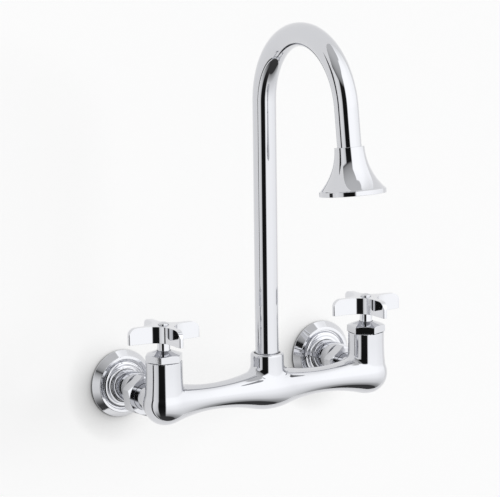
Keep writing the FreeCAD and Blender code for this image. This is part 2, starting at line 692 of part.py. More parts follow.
def wall_union(side, x):
    """Flange, wall adapter, coupling nut, washer and the shank in the casting.
    Each is turned about an axis that runs from the wall to the user. The adapter is
    eccentric: its wall end is on the inlet axis and its union end on the bar axis."""
    place = {"x": x, "axis": ACROSS, "angle": TO_USER}
    on_bar = {"z": -s.bar_drop, **place}

    flange = piece(side + "_wall_flange", **place)
    wall = s.flange_wall
    hole = s.neck_radius + s.easy_gap
    bevel = (s.flange_bevel_radius, s.flange_bevel_height)
    shape = [(s.flange_radius, 0), (s.flange_radius, s.flange_edge), bevel]
    shape += [(s.flange_lip_radius, s.flange_bevel_height, s.flange_lip_round, 1)]
    shape += [(s.flange_lip_radius, s.flange_groove_height)]
    shape += [(s.flange_step_radius, s.flange_groove_height)]
    shape += [(s.flange_step_radius, s.flange_step_height)]
    shape += [(hole, s.flange_height), (hole, s.flange_height - wall)]
    inner_step = s.flange_step_radius - wall
    inner_lip = s.flange_groove_height - wall
    shape += [(inner_step, s.flange_step_height - wall), (inner_step, inner_lip)]
    shape += [(s.flange_bevel_radius, inner_lip), (s.flange_radius - wall, 0)]
    shape += [(s.flange_radius, 0)]
    revolve(flange, shape)

    adapter = piece(side + "_wall_adapter", **place)
    thread_foot = s.union_face - s.union_thread_length
    thread_end = s.neck_from_wall + s.pipe_thread_depth
    revolve(adapter, block(s.neck_radius, s.neck_from_wall, thread_foot))
    revolve(adapter, block(s.union_thread_radius, thread_foot, s.union_face), out=s.bar_drop)
    revolve(adapter, block(s.pipe_thread_radius, 0, thread_end), cut=True)
    waterway = block(s.adapter_bore_radius, thread_end, s.union_face + CUT_BEYOND)
    revolve(adapter, waterway, cut=True, out=s.bar_drop)

    washer = piece(side + "_union_washer", **on_bar)
    seat = s.union_face + s.union_washer
    outside = s.shank_flange_radius - s.easy_gap
    revolve(washer, ring(s.adapter_bore_radius, outside, s.union_face, seat))

    shank = piece(side + "_inlet_shank", **on_bar)
    shoulder = seat + s.shank_flange
    casting_face = s.wall_to_valve - s.shank_shoulder
    thread_tip = s.wall_to_valve - s.shank_thread_end
    bore = s.passage_radius
    shape = [(bore, seat), (s.shank_flange_radius, seat)]
    shape += [(s.shank_flange_radius, shoulder), (s.shank_radius, shoulder)]
    shape += [(s.shank_radius, casting_face), (s.shank_thread_radius, casting_face)]
    shape += [(s.shank_thread_radius, thread_tip), (bore, thread_tip), (bore, seat)]
    revolve(shank, shape)

    nut = piece(side + "_coupling_nut", **on_bar)
    front = s.coupling_start + s.coupling_length
    corner = s.coupling_flats / ROOT_THREE
    sketch = sketch_on(nut, "XY_Plane", out=s.coupling_start)
    sketch.AttachmentOffset.Rotation = FreeCAD.Rotation(UP, 1.0)
    bind(sketch, "AttachmentOffset.Rotation.Angle", s.coupling_angle)
    draw(sketch, hexagon(corner))
    pad(nut, sketch, s.coupling_length)
    thread = s.union_thread_radius + s.running_gap
    hole = s.shank_radius + s.ring_gap
    inside = [(0, s.coupling_start - CUT_BEYOND), (thread, s.coupling_start - CUT_BEYOND)]
    inside += [(thread, shoulder), (hole, shoulder), (hole, front + CUT_BEYOND)]
    inside += [(0, front + CUT_BEYOND), (0, s.coupling_start - CUT_BEYOND)]
    revolve(nut, inside, cut=True)
    flat = s.coupling_flats / 2
    slope = corner - flat
    for face, step in ((front, -1), (s.coupling_start, 1)):
        inner = face + step * s.coupling_chamfer
        chamfer = [(flat, face), (corner, inner), (corner + CUT_BEYOND, inner)]
        chamfer += [(corner + CUT_BEYOND, face - step * slope)]
        chamfer += [(flat, face - step * slope), (flat, face)]
        revolve(nut, chamfer, cut=True)


def spout():
    """Gooseneck tube with the brazed shank that turns in the boss."""
    tube = piece("spout_tube", y=-s.wall_to_valve)
    route = sketch_on(tube, "YZ_Plane")
    draw_route(route)
    section = sketch_on(tube, "XY_Plane", out=tube_foot)
    circle(section, 0, 0, s.tube_radius)
    circle(section, 0, 0, s.tube_radius - s.tube_wall)
    pipe = tube.newObject("PartDesign::AdditivePipe", "Pipe")
    pipe.Profile = section
    pipe.Spine = (route, ["Edge1", "Edge2", "Edge3"])

    shank = piece("spout_shank", y=-s.wall_to_valve)
    inside_tube = s.tube_radius - s.tube_wall - s.running_gap
    bore = s.passage_radius
    bottom = s.socket_floor + s.thrust_gap
    floor = s.socket_radius - s.ring_gap - 2 * s.ring_section
    clip_floor = s.socket_radius - s.snap_ring_thickness
    clip_low = snap_ring_height - s.ring_gap
    clip_high = snap_ring_height + s.snap_ring_thickness + s.thrust_gap + s.ring_gap
    shape = [(bore, bottom), (shank_outside, bottom), (shank_outside, clip_low)]
    shape += [(clip_floor, clip_low), (clip_floor, clip_high), (shank_outside, clip_high)]
    for middle in spout_ring_heights:
        low = middle - s.ring_section - s.ring_gap
        high = middle + s.ring_section + s.ring_gap
        shape += [(shank_outside, low), (floor, low), (floor, high), (shank_outside, high)]
    shape += [(shank_outside, tube_foot), (inside_tube, tube_foot)]
    shape += [(inside_tube, tube_foot + s.plug_length), (bore, tube_foot + s.plug_length)]
    shape += [(bore, bottom)]
    revolve(shank, shape)
    for name, middle in zip(("lower", "upper"), spout_ring_heights):
        rubber_ring("spout_%s_ring" % name, floor + s.ring_section, s.ring_section,
                    y=-s.wall_to_valve, z=middle)

    sleeve = piece("spout_wear_sleeve", y=-s.wall_to_valve)
    top = s.boss_height - s.sleeve_sink
    inner = s.tube_radius + s.running_gap
    revolve(sleeve, ring(inner, s.sleeve_radius, sleeve_floor, top))

    clip = piece("spout_snap_ring", y=-s.wall_to_valve)
    outer = s.socket_radius + s.snap_ring_reach
    low = snap_ring_height + s.ring_gap
    inner = clip_floor + s.ring_gap
    revolve(clip, ring(inner, outer, low, low + s.snap_ring_thickness))
    gap = sketch_on(clip, "XY_Plane", out=low)
    half = s.snap_ring_gap / 2
    reach = outer + CUT_BEYOND
    draw(gap, [(-half, 0), (half, 0), (half, reach), (-half, reach), (-half, 0)])
    pocket(clip, gap, s.snap_ring_thickness, upward=True)


def draw_route(sketch):
    """The tube's centreline: up, over the arch, and down to the bell. Sketch x is Y."""
    start = FreeCAD.Vector(0, tube_foot.value, 0)
    spring = FreeCAD.Vector(0, s.arch_height.value, 0)
    centre = FreeCAD.Vector(-s.arch_radius.value, s.arch_height.value, 0)
    bend = Part.Circle(centre, UP, s.arch_radius.value)
    arc = Part.ArcOfCircle(bend, 0.0, math.radians(s.arch_angle.value))
    end = arc.EndPoint
    length = s.outlet_straight + s.tube_in_bell
    along = FreeCAD.Vector(-sine(s.arch_angle).value, cosine(s.arch_angle).value, 0)
    tip = end + along * length.value
    rise = sketch.addGeometry(Part.LineSegment(start, spring))
    arch = sketch.addGeometry(arc)
    outlet = sketch.addGeometry(Part.LineSegment(end, tip))
    sketch.addConstraint(Sketcher.Constraint("Coincident", rise, 2, arch, 1))
    sketch.addConstraint(Sketcher.Constraint("Coincident", arch, 2, outlet, 1))
    constrain(sketch, "DistanceX", -1, 1, rise, 1, size=as_size(0))
    constrain(sketch, "DistanceY", -1, 1, rise, 1, size=tube_foot)
    constrain(sketch, "DistanceX", -1, 1, rise, 2, size=as_size(0))
    constrain(sketch, "DistanceY", -1, 1, rise, 2, size=s.arch_height)
    constrain(sketch, "DistanceX", -1, 1, arch, 3, size=-s.arch_radius)
    constrain(sketch, "DistanceY", -1, 1, arch, 3, size=s.arch_height)
    end_x = s.arch_radius * cosine(s.arch_angle) - s.arch_radius
    end_y = s.arch_height + s.arch_radius * sine(s.arch_angle)
    constrain(sketch, "DistanceX", -1, 1, arch, 2, size=end_x)
    constrain(sketch, "DistanceX", -1, 1, outlet, 2, size=end_x - length * sine(s.arch_angle))
    constrain(sketch, "DistanceY", -1, 1, outlet, 2, size=end_y + length * cosine(s.arch_angle))


def bell_place():
    """Where the bell's top face is, with its own Z axis pointing back up the tube."""
    over = s.arch_radius - s.arch_radius * cosine(s.arch_angle)
    out = over + s.outlet_straight * sine(s.arch_angle)
    rise = s.arch_height + s.arch_radius * sine(s.arch_angle)
    height = rise + s.outlet_straight * cosine(s.arch_angle)
    return {"y": -s.wall_to_valve - out, "z": height, "axis": ACROSS,
            "angle": s.arch_angle - 180}


def spray_bell():
    """Trumpet bell with its nipple, washer and perforated face, drawn downward."""
    place = bell_place()
    nipple_end = -s.tube_in_bell - s.nipple_length
    washer_end = nipple_end - s.bell_washer
    bore = s.tube_radius + s.running_gap
    throat = s.passage_radius

    bell = piece("spray_bell", **place)
    bottom = -s.flare_height - s.rim_band
    rose_low = bottom + s.rose_sink
    rose_high = rose_low + s.rose_thickness
    recess = s.rose_radius + s.running_gap
    ledge = recess - s.bell_wall
    shape = [(s.collar_radius, 0), (bore, 0), (bore, washer_end), (throat, washer_end)]
    shape += [(throat, washer_end - s.bell_wall)]
    shape += [(ledge, rose_high, s.flare_curve - s.bell_wall, 1)]
    shape += [(recess, rose_high), (recess, bottom)]
    shape += [(s.rim_radius - s.rim_round, bottom)]
    shape += [(s.rim_radius, bottom + s.rim_round, s.rim_round, 1)]
    shape += [(s.rim_radius, -s.flare_height - (s.rim_radius - s.flare_end_radius) / 2)]
    shape += [(s.flare_end_radius, -s.flare_height)]
    shape += [(s.collar_radius, 0, s.flare_curve, -1)]
    revolve(bell, shape)

    nipple = piece("bell_nipple", **place)
    inside_tube = s.tube_radius - s.tube_wall - s.running_gap
    top = s.plug_length - s.tube_in_bell
    thread_foot = -s.tube_in_bell
    shape = [(throat, top), (throat, nipple_end), (s.tube_radius, nipple_end)]
    shape += [(s.tube_radius, thread_foot), (inside_tube, thread_foot)]
    shape += [(inside_tube, top), (throat, top)]
    revolve(nipple, shape)

    washer = piece("bell_washer", **place)
    revolve(washer, ring(throat, s.tube_radius, washer_end, nipple_end))

    rose = piece("rose_face", **place)
    revolve(rose, block(s.rose_radius, rose_low, rose_high))
    holes = sketch_on(rose, "XY_Plane", out=rose_low)
    circle(holes, 0, 0, s.rose_hole_radius)
    for number, count in ROSE_HOLES.items():
        for k in range(count):
            angle = 2 * math.pi * k / count
            x = s.rose_ring_step * (number * math.cos(angle))
            y = s.rose_ring_step * (number * math.sin(angle))
            circle(holes, x, y, s.rose_hole_radius)
    pocket(rose, holes, s.rose_thickness, upward=True)


def build():
    bridge_casting()
    for side, sign in SIDES.items():
        x = sign * half_spacing
        place = {"x": x, "y": -s.wall_to_valve}
        bonnet_nut(side, place)
        cartridge(side, place)
        cross_handle(side, place)
        wall_union(side, x)
    spout()
    spray_bell()
    doc.recompute()


def check():
    """Every feature is sound, and every sub-part is one valid solid."""
    for thing in doc.Objects:
        if "Invalid" in thing.State or "Error" in thing.State:
            raise RuntimeError("%s did not compute: %s" % (thing.Name, thing.State))
    for body in bodies:
        shape = body.Shape
        if shape.isNull() or not shape.isValid() or len(shape.Solids) != 1:
            raise RuntimeError("%s is not one valid solid" % body.Label)


def write():
    os.makedirs("parts", exist_ok=True)
    for body in bodies:
        body.Shape.exportStep("parts/%s.step" % body.Label)
        print("%-24s %10.1f mm3" % (body.Label, body.Shape.Volume))


build()
check()
write()
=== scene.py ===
"""Wall-mounted utility sink faucet in polished chrome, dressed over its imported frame.

Lengths in the tables are millimetres; meshes are written in metres.
"""
import json
import math

import bmesh
import bpy
import numpy as np
from mathutils import Matrix, Vector

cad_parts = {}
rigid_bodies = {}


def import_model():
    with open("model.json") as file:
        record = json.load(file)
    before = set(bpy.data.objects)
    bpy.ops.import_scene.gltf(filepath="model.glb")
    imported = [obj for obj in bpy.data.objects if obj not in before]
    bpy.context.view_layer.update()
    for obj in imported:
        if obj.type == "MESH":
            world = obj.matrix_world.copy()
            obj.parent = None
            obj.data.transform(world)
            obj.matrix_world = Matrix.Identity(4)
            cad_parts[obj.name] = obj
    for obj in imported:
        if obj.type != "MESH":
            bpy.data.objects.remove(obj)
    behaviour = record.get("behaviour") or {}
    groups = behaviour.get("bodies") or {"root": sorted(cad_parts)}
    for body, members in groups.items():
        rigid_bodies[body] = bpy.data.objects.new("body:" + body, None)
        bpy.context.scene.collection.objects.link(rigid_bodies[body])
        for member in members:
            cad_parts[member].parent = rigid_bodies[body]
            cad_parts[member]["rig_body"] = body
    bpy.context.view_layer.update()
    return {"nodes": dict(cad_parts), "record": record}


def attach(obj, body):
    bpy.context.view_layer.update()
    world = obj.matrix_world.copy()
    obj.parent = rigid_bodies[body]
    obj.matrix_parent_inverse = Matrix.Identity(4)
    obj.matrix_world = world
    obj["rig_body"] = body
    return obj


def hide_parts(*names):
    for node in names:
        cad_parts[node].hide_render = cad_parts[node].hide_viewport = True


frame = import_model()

MM = 0.001

# Where things stand: X to the cold side, Y into the wall and Z up, with the origin on the
# wall, midway between the inlets. SEAM is the top of the two towers.
VALVE_X = 101.6
VALVE_Y = -72.5
SEAM = 32.5
BAR_Z = -3.9
BOSS_TOP = 27.1
SIDES = {"hot": -1, "cold": 1}
HANDLE_TURN = math.radians(-3.6)
NUT_TURN = {"hot": math.radians(51.5), "cold": math.radians(23.0)}
COUPLING_TURN = math.radians(38)

# Bridge casting: its bar swells and narrows in arcs, and its posts flare into the bar
SWELL = 18.1
WAIST = 11.15
WAIST_X = 54.5
CENTRE_CREST = 64.0
END_CREST = 30.0
BOSS = 14.2
BOSS_FOOT = 16.0
BOSS_STRAIGHT = 6.0
BOSS_EDGE = 2.2
BOSS_FILLET = 5.5
TOWER = 15.55
TOWER_FOOT = 17.2
TOWER_STRAIGHT = 8.0
TOWER_EDGE = 0.25
TOWER_FILLET = 4.0
SOCKET = 11.3
SOCKET_DEPTH = 5.0
SOCKET_EDGE = 0.5

# Spout
TUBE = 9.93
TUBE_WALL = 1.2
TUBE_FOOT = 20.0
ARCH_Z = 241.9
ARCH = 61.9
ARCH_SWEEP = math.radians(172.8)
OUTLET = 30.6
OUTLET_IN_BELL = 9.0


# Outlines: a path lists its corners as (across, along), and a corner reached by an arc adds
# the arc's radius and the side it bends to. Each span becomes points and directions.

SMOOTH_ENOUGH = 0.995
EASE_SHARE = 0.4
EASE_POINTS = 6
SAME_POINT = 1e-4


def run_to(start, end, radius=None, turn=1):
    """Points and directions of a line, or of the short arc that bends left for turn 1."""
    start, end = np.array(start, float), np.array(end, float)
    chord = end - start
    length = np.hypot(*chord)
    if radius is None:
        points = np.array([start, end])
        return points, np.array([chord, chord]) / length
    left = np.array([-chord[1], chord[0]]) / length
    centre = (start + end) / 2 + left * turn * math.sqrt(max(radius ** 2 - length ** 2 / 4, 0))
    first = math.atan2(*(start - centre)[::-1])
    swing = 2 * math.asin(min(length / 2 / radius, 1.0)) * turn
    steps = max(4, int(abs(swing) / math.radians(3.0)))
    angles = first + swing * np.linspace(0, 1, steps + 1)
    rim = np.stack([np.cos(angles), np.sin(angles)], 1)
    return centre + radius * rim, turn * np.stack([-rim[:, 1], rim[:, 0]], 1)


def outline(path, ease=0.25, closed=False):
    """Dense points and outward normals of a path drawn with the outside on its right.
    Corners between spans are eased by about the given distance."""
    spans = [run_to(a[:2], b[:2], *b[2:]) for a, b in zip(path, path[1:])]
    count = len(spans)
    for index in range(count if closed else count - 1):
        here, there = spans[index], spans[(index + 1) % count]
        if np.dot(here[1][-1], there[1][0]) > SMOOTH_ENOUGH:
            continue
        corner = here[0][-1].copy()
        room = [np.hypot(*(s[0][-1] - s[0][0])) for s in (here, there)]
        cut = min(ease, EASE_SHARE * min(room))
        before, after = trim(here, cut, at_end=True), trim(there, cut, at_end=False)
        spans[index], spans[(index + 1) % count] = before, after
        a, b = before[0][-1], after[0][0]
        t = np.linspace(0, 1, EASE_POINTS)[:, None]
        bend = a * (1 - t) ** 2 + 2 * corner * t * (1 - t) + b * t ** 2
        way = (corner - a) * (1 - t) + (b - corner) * t
        way /= np.linalg.norm(way, axis=1)[:, None]
        spans[index] = (np.vstack([before[0], bend[1:-1]]), np.vstack([before[1], way[1:-1]]))
    points = np.vstack([s[0] for s in spans])
    ways = np.vstack([s[1] for s in spans])
    keep = [0]
    for i in range(1, len(points)):
        if np.hypot(*(points[i] - points[keep[-1]])) > SAME_POINT:
            keep.append(i)
    if closed and np.hypot(*(points[keep[-1]] - points[0])) < SAME_POINT:
        keep.pop()
    points, ways = points[keep], ways[keep]
    return points, np.stack([ways[:, 1], -ways[:, 0]], 1)


def trim(span, cut, at_end):
    """The span shortened by this distance at one end."""
    points, ways = span
    if at_end:
        points, ways = points[::-1], ways[::-1]
    far = np.hypot(*(points - points[0]).T)
    keep = far > cut
    keep[-1] = True
    first = int(np.argmax(keep))
    share = (cut - far[first - 1]) / max(far[first] - far[first - 1], 1e-9)
    point = points[first - 1] + (points[first] - points[first - 1]) * share
    way = ways[first - 1] + (ways[first] - ways[first - 1]) * share
    way = way / np.hypot(*way)
    points, ways = np.vstack([point, points[keep]]), np.vstack([way, ways[keep]])
    return (points[::-1], ways[::-1]) if at_end else (points, ways)


# Meshes

def new_piece(name, vertices, faces, normals=None):
    """A smooth piece in the scene, with its true normals where they are known."""
    mesh = bpy.data.meshes.new(name)
    mesh.from_pydata([tuple(v) for v in vertices], [], faces)
    mesh.validate()
    mesh.shade_smooth()
    if normals is not None:
        mesh.normals_split_custom_set_from_vertices([tuple(n) for n in normals])
    piece = bpy.data.objects.new(name, mesh)
    bpy.context.scene.collection.objects.link(piece)
    return piece


def ring_faces(rings, sides, closed):
    """Faces between rings of vertices that follow each other in one list."""
    faces = []
    for ring in range(rings if closed else rings - 1):
        a, b = ring * sides, (ring + 1) % rings * sides
        for k in range(sides):
            m = (k + 1) % sides
            faces.append((a + k, a + m, b + m, b + k))
    return faces


ON_AXIS = 0.02


def turned(name, path, place, ease=0.25, closed=False, sides=160):
    """A lathe-turned piece: the outline (radius, height) swept about its own Z axis."""
    points, normals = outline(path, ease, closed)
    angle = np.linspace(0, 2 * math.pi, sides, endpoint=False)
    cos, sin = np.cos(angle), np.sin(angle)

    def spin(rows):
        across, along = rows[:, 0], np.repeat(rows[:, 1:], sides, 1)
        return np.stack([np.outer(across, cos), np.outer(across, sin), along], 2).reshape(-1, 3)

    vertices, facing = spin(points), spin(normals)
    faces = ring_faces(len(points), sides, closed)
    matrix = np.array(place)
    vertices = vertices @ matrix[:3, :3].T + matrix[:3, 3]
    facing = facing @ matrix[:3, :3].T
    if not closed:
        for ring, flip in ((0, True), (len(points) - 1, False)):
            if points[ring][0] < ON_AXIS:
                loop = [ring * sides + k for k in range(sides)]
                faces.append(tuple(reversed(loop)) if flip else tuple(loop))
    return new_piece(name, vertices * MM, faces, facing)


def upright(x, z=0.0, turn=0.0):
    """A frame on a valve's axis, turned about it."""
    return Matrix.Translation((x, VALVE_Y, z)) @ Matrix.Rotation(turn, 4, "Z")


def from_wall(x, z=0.0):
    """A frame at the wall whose Z axis points to the user."""
    return Matrix.Translation((x, 0, z)) @ Matrix.Rotation(math.pi / 2, 4, "X")


def bell_frame():
    """A frame at the top of the bell whose Z axis points back up the tube."""
    over = ARCH - ARCH * math.cos(ARCH_SWEEP) + OUTLET * math.sin(ARCH_SWEEP)
    up = ARCH_Z + ARCH * math.sin(ARCH_SWEEP) + OUTLET * math.cos(ARCH_SWEEP)
    tilt = Matrix.Rotation(ARCH_SWEEP - math.pi, 4, "X")
    return Matrix.Translation((0, VALVE_Y - over, up)) @ tilt


def eased(piece, width, segments, angle):
    """Rounds the edges of a cut piece and keeps its flats truly flat."""
    bevel = piece.modifiers.new("eased_edges", "BEVEL")
    bevel.width = width * MM
    bevel.segments = segments
    bevel.limit_method = "ANGLE"
    bevel.angle_limit = math.radians(angle)
    bevel.harden_normals = True
    return piece


# Bridge casting

def bar_radius(x):
    """Radius and slope of the wavy bar at a distance from the middle."""
    x = np.abs(x)
    radius = np.full_like(x, SWELL)
    slope = np.zeros_like(x)
    for crest_x, crest_curve in ((0.0, CENTRE_CREST), (VALVE_X, END_CREST)):
        reach, drop = abs(WAIST_X - crest_x), SWELL - WAIST
        both = (reach ** 2 + drop ** 2) / (2 * drop)
        inflection = reach * crest_curve / both
        away = np.abs(x - crest_x)
        side = (x <= WAIST_X) if crest_x == 0 else ((x > WAIST_X) & (x <= VALVE_X))
        sign = 1.0 if crest_x == 0 else -1.0
        near = side & (away <= inflection)
        far = side & (away > inflection)
        lift = np.sqrt(crest_curve ** 2 - away[near] ** 2)
        radius[near] = SWELL - crest_curve + lift
        slope[near] = -sign * away[near] / lift
        hollow = both - crest_curve
        left = reach - away[far]
        dip = np.sqrt(hollow ** 2 - left ** 2)
        radius[far] = WAIST + hollow - dip
        slope[far] = -sign * left / dip
    return radius, slope


def post_radius(z, foot, top, straight, crest):
    """Radius of a tower or boss whose foot flares by two arcs below its straight top."""
    gain = foot - top
    both = (straight ** 2 + gain ** 2) / (2 * gain)
    share = crest / both
    z = np.clip(z, 0, straight)
    low = z < straight * share
    swell = foot - crest + np.sqrt(np.maximum(crest ** 2 - z ** 2, 0))
    hollow = both - crest
    neck = top + hollow - np.sqrt(np.maximum(hollow ** 2 - (straight - z) ** 2, 0))
    return np.where(low, swell, neck)


FILLET_FADE = 1.15


def round_join(a, b, radius, alike):
    """Union of two distances with a fillet of about this radius, which fades away where
    the two skins face alike (the product of their unit normals)."""
    radius = radius * np.clip(FILLET_FADE * (1.0 - alike), 0.0, 1.0)
    u, v = np.maximum(radius - a, 0), np.maximum(radius - b, 0)
    return np.maximum(radius, np.minimum(a, b)) - np.hypot(u, v)


def round_cut(a, b, radius):
    """Intersection of two distances with an edge rounded to about this radius."""
    u, v = np.maximum(radius + a, 0), np.maximum(radius + b, 0)
    return np.minimum(-radius, np.maximum(a, b)) + np.hypot(u, v)


def casting_field(p):
    """Distance in mm from the casting's outer skin, negative inside."""
    x, y, z = p[:, 0], p[:, 1] - VALVE_Y, p[:, 2] - BAR_Z
    across = np.hypot(y, z)
    radius, slope = bar_radius(x)
    bar = (across - radius) / np.sqrt(1 + slope ** 2)
    beyond = np.maximum(np.abs(x) - VALVE_X, 0)
    to_end = np.sqrt(beyond ** 2 + across ** 2)
    bar = np.where(beyond > 0, to_end - SWELL, bar)
    lean = np.where(beyond > 0, beyond / to_end, -slope / np.sqrt(1 + slope ** 2)) * np.sign(x)
    level = y / np.where(beyond > 0, to_end, across * np.sqrt(1 + slope ** 2))

    def facing(post_x):
        """How far the bar's skin faces the way of the post's skin, from -1 to 1."""
        return (lean * (x - post_x) + level * y) / np.maximum(np.hypot(x - post_x, y), 0.1)

    boss_top = BOSS_TOP - BAR_Z
    flared = boss_top - BOSS_STRAIGHT
    boss = np.hypot(x, y) - post_radius(z, BOSS_FOOT, BOSS, flared, boss_top)
    boss = np.maximum(round_cut(boss, z - boss_top, BOSS_EDGE), -z)
    shape = round_join(bar, boss, BOSS_FILLET, facing(0.0))
    seam = SEAM - BAR_Z
    flared = seam - TOWER_STRAIGHT
    for side in SIDES.values():
        aside = np.hypot(x - side * VALVE_X, y)
        tower = aside - post_radius(z, TOWER_FOOT, TOWER, flared, flared)
        tower = np.maximum(round_cut(tower, z - seam, TOWER_EDGE), -z)
        shape = round_join(shape, tower, TOWER_FILLET, facing(side * VALVE_X))
    socket = np.maximum(np.hypot(x, y) - SOCKET, boss_top - SOCKET_DEPTH - z)
    return round_cut(shape, -socket, SOCKET_EDGE)


# How the casting's skin is made: the size of its mesh, and how near the smooth field, how
# far above the towers' tops, in how many steps and by how much a vertex may move
FINE_VOXEL = 0.8
SKIN_BAND = 1.3
SKIN_RIM = 0.4
SKIN_STEPS = 8
SKIN_STRIDE = 0.9
SKIN_SHIFT = 1.6


def cast_bridge():
    """The hollow casting: the solid in fine mesh, whose vertices near the outer skin step onto
    the smooth field and take its normals."""
    source = frame["nodes"]["bridge_casting"]
    work = bpy.data.objects.new("bridge", source.data.copy())
    bpy.context.scene.collection.objects.link(work)
    remesh = work.modifiers.new("skin", "REMESH")
    remesh.mode = "VOXEL"
    remesh.voxel_size = FINE_VOXEL * MM
    held = bpy.context.evaluated_depsgraph_get()
    mesh = bpy.data.meshes.new_from_object(work.evaluated_get(held))
    bpy.data.objects.remove(work)
    count = len(mesh.vertices)
    co = np.empty(count * 3)
    mesh.vertices.foreach_get("co", co)
    co = co.reshape(-1, 3) / MM
    normal = np.empty(count * 3)
    mesh.vertices.foreach_get("normal", normal)
    normal = normal.reshape(-1, 3).copy()
    skin = np.abs(casting_field(co)) < SKIN_BAND
    skin &= (co[:, 2] < SEAM + SKIN_RIM)
    point = co[skin]
    for _ in range(SKIN_STEPS):
        distance = casting_field(point)
        point = point - slope_of(casting_field, point) * distance[:, None] * SKIN_STRIDE
    moved = np.linalg.norm(point - co[skin], axis=1) < SKIN_SHIFT
    index = np.flatnonzero(skin)[moved]
    co[index] = point[moved]
    normal[index] = slope_of(casting_field, point[moved])
    mesh.vertices.foreach_set("co", (co * MM).ravel())
    mesh.shade_smooth()
    mesh.normals_split_custom_set_from_vertices([tuple(n) for n in normal])
    piece = bpy.data.objects.new("bridge_body", mesh)
    bpy.context.scene.collection.objects.link(piece)
    return piece


def slope_of(field, p, step=0.02):
    """Unit gradient of a distance field."""
    slopes = []
    for axis in range(3):
        shift = np.zeros(3)
        shift[axis] = step
        slopes.append(field(p + shift) - field(p - shift))
    slopes = np.stack(slopes, 1)
    return slopes / np.maximum(np.linalg.norm(slopes, axis=1), 1e-9)[:, None]


# Bonnet nut and coupling nut

def hexagon_radius(angle, half):
    """Radius of a hexagon with corners at 0 and every 60 degrees, by its half width."""
    return half / math.cos(angle % (math.pi / 3) - math.pi / 6)


def join_rings(bm, rings):
    """Faces from each ring of vertices to the next."""
    for low, high in zip(rings, rings[1:]):
        for k in range(len(low)):
            m = (k + 1) % len(low)
            bm.faces.new((low[k], low[m], high[m], high[k]))


def cut_piece(name, bm):
    """The finished mesh as a piece in the scene, still with sharp edges."""
    bmesh.ops.recalc_face_normals(bm, faces=bm.faces)
    mesh = bpy.data.meshes.new(name)
    bm.to_mesh(mesh)
    bm.free()
    mesh.shade_smooth()
    piece = bpy.data.objects.new(name, mesh)
    bpy.context.scene.collection.objects.link(piece)
    return piece


BONNET_CORNER = 16.6
BONNET_CORNER_HEIGHT = 5.55
BONNET_HEIGHT = 9.38
BONNET_HOLE = 5.9
BONNET_HOLE_DEPTH = 5.0
BONNET_CONE_RINGS = (13.9, 10.0)
BONNET_SIDES = 96
BONNET_GAP = 0.12


def bonnet_nut(side):
    """Low hexagon nut whose conical top runs up to the neck of the handle."""
    half = BONNET_CORNER * math.cos(math.pi / 6)
    slope = (BONNET_HEIGHT - BONNET_CORNER_HEIGHT) / (BONNET_CORNER - BONNET_HOLE)
    bm = bmesh.new()

    def ring(radius, level):
        """A ring of vertices; without a radius it follows the hexagon, and without a level
        the cone."""
        vertices = []
        for k in range(BONNET_SIDES):
            angle = 2 * math.pi * k / BONNET_SIDES
            r = radius or hexagon_radius(angle, half)
            z = BONNET_HEIGHT - slope * (r - BONNET_HOLE) if level is None else level
            vertices.append(bm.verts.new((r * math.cos(angle), r * math.sin(angle), z)))
        return vertices

    rings = [ring(None, 0.0), ring(None, None)]
    rings += [ring(radius, None) for radius in BONNET_CONE_RINGS]
    rings += [ring(BONNET_HOLE, BONNET_HEIGHT)]
    rings += [ring(BONNET_HOLE, BONNET_HEIGHT - BONNET_HOLE_DEPTH)]
    join_rings(bm, rings)
    bm.faces.new(rings[-1])
    bm.faces.new(rings[0][::-1])
    place = upright(SIDES[side] * VALVE_X, SEAM + BONNET_GAP, NUT_TURN[side])
    bm.transform(Matrix.Scale(MM, 4) @ place)
    return eased(cut_piece(side + "_bonnet", bm), width=0.4, segments=3, angle=12)


COUPLING_START = 30.5
COUPLING_LENGTH = 11.0
COUPLING_FLATS = 31.4
COUPLING_CHAMFER = 1.0
COUPLING_BORE = 11.75
COUPLING_MOUTH = 14.2
COUPLING_SIDES = 144
FACE_INSET = 0.15
FACE_STEP = 0.1


def coupling_nut(side):
    """Large hexagon nut: flats cut into a turned blank, so its ends are chamfered."""
    half = COUPLING_FLATS / 2
    corner = COUPLING_FLATS / math.sqrt(3)
    slope = COUPLING_CHAMFER / (corner - half)
    bm = bmesh.new()

    def ring(shape):
        """A ring of vertices whose radius and height may follow the hexagon."""
        vertices = []
        for k in range(COUPLING_SIDES):
            local = 2 * math.pi * k / COUPLING_SIDES
            angle = local + COUPLING_TURN
            r, z = shape(hexagon_radius(local, half))
            vertices.append(bm.verts.new((r * math.cos(angle), r * math.sin(angle), z)))
        return vertices

    def end_rings(end, way, inner):
        """The bore's edge, the flat face's edge and the chamfer's wavy foot of one end."""
        return [ring(lambda r: (inner, end)), ring(lambda r: (half - FACE_INSET, end)),
                ring(lambda r: (r, end + way * (slope * (r - half) + FACE_STEP)))]

    back = end_rings(COUPLING_START, 1, COUPLING_MOUTH)
    front = end_rings(COUPLING_START + COUPLING_LENGTH, -1, COUPLING_BORE)
    join_rings(bm, back + front[::-1] + back[:1])
    bm.transform(Matrix.Scale(MM, 4) @ from_wall(SIDES[side] * VALVE_X, BAR_Z))
    return eased(cut_piece(side + "_coupling", bm), width=0.35, segments=2, angle=20)


# Cross handle

HANDLE_BOTTOM = 49.5
HANDLE_TOP = 63.5
ARM_REACH = 33.0
ARM_TIP = 1.95
ARM_TAPER = math.radians(3.0)
ARM_CORNER = 7.5
ARM_TIP_ROUND = 1.4
ARM_MIDDLE = 20.5
WEB = 16.0
RECESS = 4.75
RECESS_FLOOR = 61.8
NECK_HOLE = 5.1
CORNER_STEPS = (12, 24, 36, 48, 58, 68, 77)
WEB_STEPS = 14
ACROSS_ARM = (-1.0, -0.45, 0.0, 0.45, 1.0)


